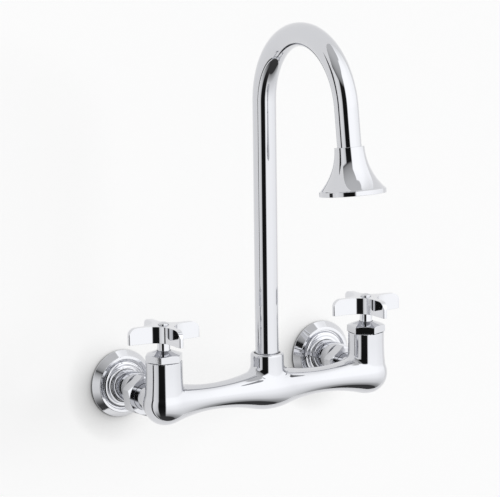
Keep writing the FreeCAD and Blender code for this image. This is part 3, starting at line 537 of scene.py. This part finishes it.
def handle_height(distance):
    """Height of the upper face: level, then rounded over to the tip."""
    over = max(distance - ARM_REACH + ARM_CORNER, 0.0)
    return HANDLE_TOP - ARM_CORNER + math.sqrt(max(ARM_CORNER ** 2 - over ** 2, 0.0))


def cross_handle(side):
    """Four flat arms with hollow corners, a round recess on top and a hole below for the neck."""
    slope = math.tan(ARM_TAPER)
    middle = (WEB / math.cos(ARM_TAPER) + ARM_TIP + ARM_REACH * slope) / (1 + slope)
    root = middle - WEB * math.sin(ARM_TAPER)
    diagonal = middle - WEB * math.sqrt(0.5)
    rows = [*np.linspace(diagonal, root, WEB_STEPS), ARM_MIDDLE, ARM_REACH - ARM_CORNER]
    rows += [ARM_REACH - ARM_CORNER * (1 - math.sin(a)) for a in np.radians(CORNER_STEPS)]
    rows.append(ARM_REACH)
    bm = bmesh.new()
    known = {}
    rims = {HANDLE_TOP: set(), HANDLE_BOTTOM: set()}

    def vertex(x, y, z):
        """The vertex at this place, which neighbouring faces share."""
        key = (round(x, 3), round(y, 3), round(z, 3))
        if key not in known:
            known[key] = bm.verts.new((x, y, z))
        return known[key]

    def half_width(x):
        """Half of the arm's thickness: a hollow corner, a slight taper and a rounded tip."""
        if x < root:
            return middle - math.sqrt(max(WEB ** 2 - (middle - x) ** 2, 0.0))
        over = max(x - ARM_REACH + ARM_TIP_ROUND, 0.0)
        eased_off = ARM_TIP_ROUND - math.sqrt(ARM_TIP_ROUND ** 2 - over ** 2)
        return ARM_TIP + (ARM_REACH - x) * slope - eased_off

    def strip(near, far, upward):
        """Faces between two rows of vertices."""
        for a, b, c, d in zip(near, far, far[1:], near[1:]):
            bm.faces.new((a, b, c, d) if upward else (d, c, b, a))

    def arm(cos, sin):
        """An arm's two faces, its walls, and its share of the recess and the neck's hole."""

        def on_arm(x, y, z):
            return vertex(cos * x - sin * y, sin * x + cos * y, z)

        low, high = [[[on_arm(x, half_width(x) * c, height(x)) for c in ACROSS_ARM]
                      for x in rows] for height in (lambda x: HANDLE_BOTTOM, handle_height)]
        for grid, upward in ((low, False), (high, True)):
            for near, far in zip(grid, grid[1:]):
                strip(near, far, upward)
        strip([row[0] for row in high], [row[0] for row in low], True)
        strip([row[-1] for row in low], [row[-1] for row in high], True)
        strip(low[-1], high[-1], False)
        for grid, radius, level, upward in ((high, RECESS, HANDLE_TOP, True),
                                            (low, NECK_HOLE, HANDLE_BOTTOM, False)):
            angles = [math.atan2(diagonal * c, diagonal) for c in ACROSS_ARM]
            rim = [on_arm(radius * math.cos(a), radius * math.sin(a), level) for a in angles]
            strip(rim, grid[0], upward)
            rims[level].update(rim)

    for cos, sin in ((1, 0), (0, 1), (-1, 0), (0, -1)):
        arm(cos, sin)
    rim, hole = (sorted(rims[level], key=lambda v: math.atan2(v.co.y, v.co.x))
                 for level in (HANDLE_TOP, HANDLE_BOTTOM))
    floor = [bm.verts.new((v.co.x, v.co.y, RECESS_FLOOR)) for v in rim]
    strip(rim + rim[:1], floor + floor[:1], True)
    bm.faces.new(floor)
    bm.faces.new(hole[::-1])
    place = upright(SIDES[side] * VALVE_X, turn=HANDLE_TURN)
    bm.transform(Matrix.Scale(MM, 4) @ place)
    return eased(cut_piece(side + "_cross", bm), width=0.6, segments=3, angle=28)


def handle_neck(side):
    """Round neck from the bonnet nut up to the arms, with a cove at its top."""
    path = [(0, 39.9), (5.2, 39.9), (5.4, 40.1), (5.4, 47.8), (6.3, 49.6, 1.9, -1), (0, 49.7)]
    return turned(side + "_neck", path, upright(SIDES[side] * VALVE_X), ease=0.2, sides=72)


def index_button(side):
    """Plain domed button that fills the recess."""
    path = [(0, 60.2), (4.45, 60.2), (4.45, 64.2), (3.9, 64.9), (0, 66.0, 8.5, 1)]
    return turned(side + "_button", path, upright(SIDES[side] * VALVE_X), ease=0.3, sides=72)


# Wall connection

def wall_flange(side):
    """Stepped rosette: steep bevel, flat lip, groove, rounded ring and cove."""
    path = [(13.95, 7.0), (18.6, 4.9), (18.6, 3.6), (24.6, 3.6), (27.5, 0.02)]
    path += [(29.0, 0.02), (29.0, 1.0), (24.6, 6.2), (24.2, 6.6), (22.0, 6.7), (21.65, 6.3)]
    path += [(21.5, 4.2), (20.3, 4.2), (19.95, 6.0), (16.4, 7.1, 3.4, 1)]
    path += [(13.95, 8.38, 2.8, -1), (13.95, 7.0)]
    place = from_wall(SIDES[side] * VALVE_X)
    return turned(side + "_rosette", path, place, closed=True, sides=400)


def wall_adapter(side):
    """Eccentric stub: a round neck on the inlet's axis, and a union end set lower."""
    x = SIDES[side] * VALVE_X
    neck = [(10.3, 1.5), (13.7, 1.5), (13.7, 30.0), (4.0, 30.0), (4.0, 17.5), (10.3, 17.5),
            (10.3, 1.5)]
    union = [(6.2, 29.0), (14.1, 29.5), (14.1, 35.5), (6.2, 35.5), (6.2, 29.0)]
    place, union_place = from_wall(x), from_wall(x, BAR_Z)
    stub = turned(side + "_stub", neck, place, closed=True, sides=120)
    union_end = turned(side + "_union_end", union, union_place, closed=True, sides=120)
    return stub, union_end


def inlet_shank(side):
    """Round stub, flanged inside the coupling nut, that enters the casting."""
    path = [(6.5, 37.0), (13.4, 37.0), (13.4, 39.0), (11.55, 39.0), (11.55, 58.5)]
    path += [(9.0, 58.5), (9.0, 64.0), (6.5, 64.0), (6.5, 37.0)]
    place = from_wall(SIDES[side] * VALVE_X, BAR_Z)
    return turned(side + "_shank", path, place, ease=0.3, closed=True, sides=120)


# Spout

ARCH_STEPS = 120
TUBE_SIDES = 96


def gooseneck():
    """Bent tube with a wall: a round section carried along up, over and down."""
    line = [(0.0, TUBE_FOOT, 0.0), (0.0, ARCH_Z, 0.0)]
    for k in range(1, ARCH_STEPS + 1):
        a = ARCH_SWEEP * k / ARCH_STEPS
        line.append((-ARCH + ARCH * math.cos(a), ARCH_Z + ARCH * math.sin(a), a))
    y, z, tilt = line[-1]
    reach = OUTLET + OUTLET_IN_BELL
    line.append((y - reach * math.sin(tilt), z + reach * math.cos(tilt), tilt))
    around = np.linspace(0, 2 * math.pi, TUBE_SIDES, endpoint=False)
    vertices, normals = [], []
    for radius, rows, sense in ((TUBE, line, 1), (TUBE - TUBE_WALL, line[::-1], -1)):
        for y, z, a in rows:
            out = np.array([0.0, math.cos(a), math.sin(a)])
            ring = np.outer(np.cos(around), [1.0, 0, 0]) + np.outer(np.sin(around), out)
            vertices.append(ring * radius + np.array([0.0, VALVE_Y + y, z]))
            normals.append(ring * sense)
    faces = ring_faces(len(vertices), TUBE_SIDES, True)
    return new_piece("gooseneck", np.vstack(vertices) * MM, faces, np.vstack(normals))


def spray_bell():
    """Trumpet bell: collar, flare and an upright rim band, hollow inside."""
    path = [(10.15, 0.0), (10.15, -17.0), (8.0, -19.0), (22.9, -35.1, 46.0, 1), (24.6, -35.7)]
    path += [(24.6, -38.58), (27.35, -38.58), (27.35, -34.9), (26.2, -34.2)]
    path += [(12.2, 0.0, 49.0, -1), (10.15, 0.0)]
    return turned("trumpet_bell", path, bell_frame(), ease=0.3, closed=True, sides=200)


# Finishes

class Link:
    """An output socket; sums, differences and products of links add Math nodes."""

    def __init__(self, shading, socket):
        self.shading = shading
        self.socket = socket

    def __add__(self, other):
        return self.shading.math("ADD", self, other)

    def __sub__(self, other):
        return self.shading.math("SUBTRACT", self, other)

    def __rsub__(self, other):
        return self.shading.math("SUBTRACT", other, self)

    def __mul__(self, other):
        return self.shading.math("MULTIPLY", self, other)

    __radd__ = __add__
    __rmul__ = __mul__


class Shading:
    """A node tree built node by node."""

    def __init__(self, tree):
        self.tree = tree
        self.tree.nodes.clear()

    def add(self, kind, settings=None, values=None, out=0):
        """A node with its settings first, then the values or links of its sockets."""
        node = self.tree.nodes.new(kind)
        for key, value in (settings or {}).items():
            if key == "stops":
                ramp = node.color_ramp.elements
                for index, (place, level) in enumerate(value):
                    stop = ramp[index] if index < 2 else ramp.new(place)
                    stop.position = place
                    stop.color = (level, level, level, 1)
            else:
                setattr(node, key, value)
        for key, value in (values or {}).items():
            if isinstance(value, Link):
                self.tree.links.new(value.socket, node.inputs[key])
            else:
                node.inputs[key].default_value = value
        return Link(self, node.outputs[out]) if node.outputs else None

    def math(self, operation, first, second):
        """A Math node on two links or numbers."""
        return self.add("ShaderNodeMath", {"operation": operation}, {0: first, 1: second})

    def ramp(self, value, low, high, start, end, shape="LINEAR"):
        """Start below low, end above high, and a ramp between them."""
        return self.add("ShaderNodeMapRange", {"interpolation_type": shape},
                        {"Value": value, "From Min": low, "From Max": high,
                         "To Min": start, "To Max": end})

    def soft(self, value, low, high):
        """0 below low and 1 above high, eased at both ends."""
        return self.ramp(value, low, high, 0.0, 1.0, "SMOOTHSTEP")

    def blend(self, factor, first, second):
        """A colour between two, by the factor."""
        return self.add("ShaderNodeMix", {"data_type": "RGBA"},
                        {"Factor": factor, 6: (*first, 1), 7: (*second, 1)}, 2)

    def noise(self, scale, detail=2.0, roughness=0.5, stretch=(1, 1, 1)):
        """Noise fixed to the object, with this many cells to the metre."""
        place = self.add("ShaderNodeTexCoord", None, None, "Object")
        if stretch != (1, 1, 1):
            place = self.add("ShaderNodeMapping", None, {"Vector": place, "Scale": stretch})
        return self.add("ShaderNodeTexNoise", None, {"Vector": place, "Scale": scale,
                                                     "Detail": detail, "Roughness": roughness})

    def bump(self, height, strength, distance):
        """A normal bent by a height; the distance is in metres."""
        return self.add("ShaderNodeBump", None, {"Height": height, "Strength": strength,
                                                 "Distance": distance})

    def end(self, shader, kind="ShaderNodeOutputMaterial"):
        """Sends the finished shader to the output."""
        self.add(kind, None, {"Surface": shader})


class Finish(Shading):
    """A material of the faucet or of the studio."""

    def __init__(self, name):
        self.material = bpy.data.materials.new(name)
        self.material.use_nodes = True
        super().__init__(self.material.node_tree)

    def surface(self, **values):
        """Ends the material in one principled shader."""
        named = {key.replace("_", " "): value for key, value in values.items()}
        return self.end(self.add("ShaderNodeBsdfPrincipled", None, named))

    def end(self, shader):
        """Ends the material and hands it over."""
        super().end(shader)
        return self.material


# The plating's colour, and a lighter copy of it, painted light, for the pieces that catch the most
# light
CHROME = (0.64, 0.645, 0.67, 1)
PAINTED_LIGHT_CHROME = (0.71, 0.715, 0.74, 1)


def chrome(name, ripple, haze, colour=CHROME):
    """Polished plating: a mirror with faint haze, over the slow ripple of cast pieces."""
    finish = Finish(name)
    smear = finish.noise(60.0, 3.0, 0.6)
    fine = finish.noise(900.0, 2.0, 0.5)
    roughness = haze * 0.5 + smear * (haze * 0.9) + fine * (haze * 0.3)
    values = {"Base_Color": colour, "Metallic": 1.0, "Roughness": roughness}
    if ripple:
        values["Normal"] = finish.bump(finish.noise(130.0, 1.0, 0.4), ripple, 0.0003)
    return finish.surface(**values)


def brass():
    """Turned brass with fine tool rings."""
    finish = Finish("turned_brass")
    lathe = finish.noise(40.0, 4.0, 0.6, (1, 1, 40))
    tone = finish.blend(lathe, (0.66, 0.47, 0.2), (0.78, 0.58, 0.28))
    return finish.surface(Base_Color=tone, Metallic=1.0, Roughness=lathe * 0.2 + 0.18,
                          Normal=finish.bump(lathe, 0.15, 0.0002))


def steel():
    """Plain steel with a fine grain."""
    finish = Finish("bright_steel")
    grain = finish.noise(120.0, 4.0, 0.7)
    return finish.surface(Base_Color=(0.58, 0.585, 0.6, 1), Metallic=1.0,
                          Roughness=grain * 0.18 + 0.16, Normal=finish.bump(grain, 0.1, 0.0001))


def rubber():
    """Black rubber of the seals and washers."""
    finish = Finish("black_rubber")
    grain = finish.noise(1400.0, 3.0, 0.6)
    tone = finish.blend(grain, (0.012, 0.012, 0.012), (0.03, 0.03, 0.03))
    return finish.surface(Base_Color=tone, Roughness=grain * 0.2 + 0.6,
                          Normal=finish.bump(grain, 0.3, 0.0001))


def plastic():
    """Dark moulded plastic."""
    finish = Finish("dark_plastic")
    grain = finish.noise(800.0, 2.0, 0.5)
    tone = finish.blend(grain, (0.02, 0.02, 0.022), (0.04, 0.04, 0.043))
    return finish.surface(Base_Color=tone, Roughness=grain * 0.15 + 0.4,
                          Normal=finish.bump(grain, 0.2, 0.0001))


def ceramic():
    """White ceramic of the valve discs."""
    finish = Finish("white_ceramic")
    cloud = finish.noise(200.0, 3.0, 0.6)
    tone = finish.blend(cloud, (0.84, 0.83, 0.8), (0.9, 0.89, 0.87))
    return finish.surface(Base_Color=tone, Roughness=cloud * 0.1 + 0.1,
                          Normal=finish.bump(cloud, 0.05, 0.0001))


FINISHES = {
    "plated_casting": chrome("cast_chrome", 0.03, 0.035),
    "plated_nut": chrome("nut_chrome", 0.0, 0.04),
    # painted light: the handles and rosettes take the lighter copy of the plating
    "plated_handle": chrome("handle_chrome", 0.03, 0.04, PAINTED_LIGHT_CHROME),
    "plated_button": chrome("button_chrome", 0.0, 0.05),
    "plated_flange": chrome("rosette_chrome", 0.0, 0.05, PAINTED_LIGHT_CHROME),
    "plated_adapter": chrome("stub_chrome", 0.0, 0.06),
    "plated_coupling": chrome("coupling_chrome", 0.0, 0.05),
    "plated_tube": chrome("tube_chrome", 0.0, 0.025),
    "plated_bell": chrome("bell_chrome", 0.0, 0.03),
    "turned_brass": brass(),
    "bright_steel": steel(),
    "black_rubber": rubber(),
    "dark_plastic": plastic(),
    "white_ceramic": ceramic(),
}


def add_to(piece, node, slot):
    """A piece that belongs to a node moves with its body and takes the slot's finish."""
    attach(piece, frame["nodes"][node]["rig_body"])
    piece.data.materials.clear()
    piece.data.materials.append(FINISHES[slot])


def fit(piece, node, slot):
    """A finished piece stands in for its node."""
    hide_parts(node)
    add_to(piece, node, slot)


def dress():
    """Every visible piece of the faucet, then the finishes of the nodes that stay."""
    fit(cast_bridge(), "bridge_casting", "plated_casting")
    for side in SIDES:
        fit(bonnet_nut(side), side + "_bonnet_nut", "plated_nut")
        fit(cross_handle(side), side + "_handle", "plated_handle")
        add_to(handle_neck(side), side + "_handle", "plated_handle")
        fit(index_button(side), side + "_index_button", "plated_button")
        fit(wall_flange(side), side + "_wall_flange", "plated_flange")
        stub, union_end = wall_adapter(side)
        fit(stub, side + "_wall_adapter", "plated_adapter")
        add_to(union_end, side + "_wall_adapter", "plated_adapter")
        fit(inlet_shank(side), side + "_inlet_shank", "plated_adapter")
        fit(coupling_nut(side), side + "_coupling_nut", "plated_coupling")
    fit(gooseneck(), "spout_tube", "plated_tube")
    fit(spray_bell(), "spray_bell", "plated_bell")
    slots = {s["node"]: s["material_slot"] for s in frame["record"]["subparts"]}
    for node, thing in frame["nodes"].items():
        thing.data.materials.clear()
        thing.data.materials.append(FINISHES[slots[node]])


# Studio

PICTURE_WIDTH = 500
FOCAL_PIXELS = 3189.7
SENSOR_WIDTH = 36.0


def camera():
    """The photograph's view: a long lens to the left of the faucet and a little above it,
    which turns about the middle of the line between the towers' tops."""
    turn, rise, distance = math.radians(32.373), math.radians(12.421), 2708.3
    yaw, pitch, roll = math.radians(-0.29), math.radians(1.75), math.radians(0.699)
    back = Vector((-math.sin(turn) * math.cos(rise), -math.cos(turn) * math.cos(rise),
                   math.sin(rise)))
    place = back * distance + Vector((0, VALVE_Y, SEAM))
    turn, rise = turn + yaw, rise - pitch
    forward = Vector((math.sin(turn) * math.cos(rise), math.cos(turn) * math.cos(rise),
                      -math.sin(rise)))
    right = Vector((math.cos(turn), -math.sin(turn), 0))
    down = forward.cross(right)
    right, down = (right * math.cos(roll) + down * math.sin(roll),
                   down * math.cos(roll) - right * math.sin(roll))
    data = bpy.data.cameras.new("view")
    data.sensor_width = SENSOR_WIDTH
    data.lens = FOCAL_PIXELS / PICTURE_WIDTH * SENSOR_WIDTH
    data.clip_start = 0.05
    data.clip_end = 50.0
    thing = bpy.data.objects.new("view", data)
    matrix = Matrix((right, -down, -forward)).transposed().to_4x4()
    matrix.translation = place * MM
    thing.matrix_world = matrix
    bpy.context.scene.collection.objects.link(thing)
    bpy.context.scene.camera = thing


def board(name, corner, right, up, finish):
    """A flat studio board from its lower left corner, with its two edges in metres."""
    corner, right, up = Vector(corner), Vector(right), Vector(up)
    corners = [corner, corner + right, corner + right + up, corner + up]
    piece = new_piece(name, corners, [(0, 1, 2, 3)])
    piece.data.materials.append(finish)
    return piece


# Light levels. AMBIENT is what a matt surface receives from the studio all round, and KEY
# comes from one side; the wall's own glow makes it white without lighting the faucet.
AMBIENT = 0.09
KEY = 0.75
KEY_FROM = (0.92, -0.30, 0.14)
KEY_SPREAD = math.radians(28)
WALL_GLOW = 0.81

# The painted contact shadow in the wall's glow: how far the wall looks towards the light, how
# open it then is where the painted shadow begins and ends, and the side that the light comes from
CONTACT_REACH = 0.025
CONTACT_SHADE = (0.42, 1.0)
LIGHT_SIDE = (0.8, -0.42, 0.42)


def pale_paint(name, glow):
    """Matt white paint that glows up to white, keeps the shadows that fall on it, has a painted
    shade in its glow beside whatever stands on its upper right, and is clear to a camera behind
    it. Light that has bounced off a matt surface finds no glow here."""
    paint = Finish(name)
    grain = paint.noise(60.0, 3.0, 0.6)
    tone = paint.blend(grain, (0.9, 0.9, 0.9), (0.92, 0.92, 0.92))
    bump = paint.bump(grain, 0.02, 0.0002)
    camera_ray = paint.add("ShaderNodeLightPath", None, None, "Is Camera Ray")
    bounces = paint.add("ShaderNodeLightPath", None, None, "Diffuse Depth")
    towards = paint.add("ShaderNodeCombineXYZ", None, dict(zip("XYZ", LIGHT_SIDE)))
    # painted shade: the glow is dimmed where the wall is hemmed in towards the light, as a contact
    # shadow
    painted_shade_open = paint.add("ShaderNodeAmbientOcclusion", {"samples": 12},
                          {"Distance": CONTACT_REACH, "Normal": towards}, "AO")
    glow_with_painted_shade = paint.ramp(painted_shade_open, *CONTACT_SHADE, 0.0, glow)
    glow_with_painted_shade = glow_with_painted_shade * (1.0 - paint.math("MINIMUM", bounces, 1.0))
    matt = paint.add("ShaderNodeBsdfPrincipled", None, {
        "Base Color": tone, "Roughness": grain * 0.05 + 0.85, "Specular IOR Level": 0.0,
        "Normal": bump, "Emission Color": glow_with_painted_shade, "Emission Strength": 1.0})
    behind = paint.add("ShaderNodeNewGeometry", None, None, "Backfacing") * camera_ray
    clear = paint.add("ShaderNodeBsdfTransparent")
    return paint.end(paint.add("ShaderNodeMixShader", None, {0: behind, 1: matt, 2: clear}))


def painted_gap_shade():
    """Painted shade: a dark sheet for the unlit gap between two boards, seen only as a thin line
    in the plating.
    """
    shade_sheet = Finish("painted_gap_shade")
    weave = shade_sheet.noise(300.0, 2.0, 0.5)
    return shade_sheet.surface(Base_Color=shade_sheet.blend(weave, (0.01, 0.01, 0.01), (0.02, 0.02, 0.02)),
                         Roughness=weave * 0.1 + 0.8, Normal=shade_sheet.bump(weave, 0.1, 0.0001))


def key_light():
    """A broad soft light from the right, low over the wall, whose shadows fall on it."""
    data = bpy.data.lights.new("key", "SUN")
    data.energy = KEY
    data.angle = KEY_SPREAD
    lamp = bpy.data.objects.new("key", data)
    lamp.rotation_euler = Vector(KEY_FROM).to_track_quat("Z", "X").to_euler()
    lamp.visible_glossy = False
    bpy.context.scene.collection.objects.link(lamp)


def soft_light():
    """The studio all round, by direction, in degrees to the left of the front and above
    level: a tall soft box in front and to the right, a dark gap, a smaller board on the
    left, a grey ceiling and a dark floor. Light bounced off a matt surface meets a plain
    level all round instead."""
    world = bpy.data.worlds.new("studio")
    bpy.context.scene.world = world
    world.use_nodes = True
    sky = Shading(world.node_tree)
    way = sky.add("ShaderNodeTexCoord", None, None, "Generated")
    x, y, z = (sky.add("ShaderNodeSeparateXYZ", None, {0: way}, axis) for axis in "XYZ")
    degrees = 180 / math.pi
    turn = sky.math("ARCTAN2", x * -1.0, y * -1.0) * degrees
    rise = sky.math("ARCSINE", z, 0.0) * degrees

    def by_height(levels):
        """Brightness by the degrees above level; a colour ramp holds up to 1, so half."""
        stops = [((height + 90) / 180, level / 2) for height, level in levels]
        return sky.add("ShaderNodeValToRGB", {"stops": stops}, {0: rise * (1 / 180) + 0.5}) * 2.0

    front = by_height([(-60, 0.12), (-57, 0.3), (-53, 0.42), (-47, 0.6), (-41, 0.87), (-29, 1.06),
                       (-17, 1.25), (-5, 1.35), (7, 1.5), (45, 1.52), (64, 1.45), (90, 1.45)])
    slant = sky.ramp(turn, 0.0, 24.0, 0.0, 21.0) - sky.ramp(turn, -60.0, -22.0, 9.0, 0.0)
    in_front = (1.0 - sky.soft(turn, 20.0, 28.0)) * (1.0 - sky.soft(rise + slant, 64.0, 68.0))
    in_front = in_front * sky.soft(rise, -60.0, -57.0)
    front = front * sky.ramp(turn, -90.0, -30.0, 0.9, 1.0)
    front = front * (1.0 - sky.ramp(turn, -85.0, -50.0, 0.18, 0.0) * sky.soft(rise, 25.0, 55.0))

    left = by_height([(-62, 0.06), (-53, 0.22), (-41, 0.52), (-25, 0.9), (0, 1.0), (90, 1.0)])
    on_left = sky.soft(turn, 63.0, 69.0) * (1.0 - sky.soft(rise, 26.0, 31.0))
    left = left * sky.ramp(turn, 68.0, 95.0, 0.86, 1.12)

    rest = by_height([(-90, 0.06), (-60, 0.05), (-50, 0.03), (-35, 0.015), (0, 0.008), (29, 0.015),
                      (34, 0.33), (43, 0.47), (55, 0.58), (66, 0.65), (90, 0.68)])
    bare = (1.0 - in_front) * (1.0 - on_left)
    level = in_front * front + on_left * left + bare * rest
    bounces = sky.add("ShaderNodeLightPath", None, None, "Diffuse Depth")
    off_matt = sky.math("MINIMUM", bounces, 1.0)
    level = level * (1.0 - off_matt) + off_matt * AMBIENT
    studio_light = sky.add("ShaderNodeBackground", None,
                           {"Color": (0.99, 0.995, 1, 1), "Strength": level})
    white = sky.add("ShaderNodeBackground", None,
                    {"Color": (0.95, 0.95, 0.95, 1), "Strength": 1.0})
    camera_ray = sky.add("ShaderNodeLightPath", None, None, "Is Camera Ray")
    sky.end(sky.add("ShaderNodeMixShader", None, {0: camera_ray, 1: studio_light, 2: white}),
            "ShaderNodeOutputWorld")


# Where the boards stand, in metres: the wall is two boards that meet to the faucet's left,
# and a dark board before their seam paints a thin line of shade into the plating's reflection
WALL_Y = 0.0006
GAP_Y = 0.0003
STUDIO_REACH = 4.5
WALL_SEAM_X = -0.42
WALL_WIDTH = 4.4
WALL_HEIGHT = 8.0
GAP_X = -0.8
GAP_WIDTH = 0.41
GAP_HEIGHT = 5.0
FLOOR_Z = -0.5
FLOOR_DEPTH = 4.0
FLOOR_LENGTH = 8.5


def studio():
    """A white wall and floor under the studio's light."""
    bpy.context.scene.view_settings.view_transform = "Standard"
    soft_light()
    key_light()
    paint = pale_paint("wall_paint", WALL_GLOW)
    up = (0, 0, WALL_HEIGHT)
    board("wall", (WALL_SEAM_X, WALL_Y, -STUDIO_REACH), (WALL_WIDTH, 0, 0), up, paint)
    board("wall_left", (-STUDIO_REACH, WALL_Y, -STUDIO_REACH),
          (STUDIO_REACH + WALL_SEAM_X, 0, 0), up, paint)
    # painted shade: a dark board that only the plating's reflections see
    gap = board("wall_gap", (GAP_X, GAP_Y, -STUDIO_REACH), (GAP_WIDTH, 0, 0),
                (0, 0, GAP_HEIGHT), painted_gap_shade())
    gap.visible_camera = False
    gap.visible_diffuse = False
    gap.visible_shadow = False
    floor = board("floor", (-STUDIO_REACH, WALL_Y, FLOOR_Z), (0, -FLOOR_DEPTH, 0),
                  (FLOOR_LENGTH, 0, 0), pale_paint("floor_paint", WALL_GLOW))
    floor.visible_glossy = False
    floor.visible_diffuse = False


dress()
camera()
studio()
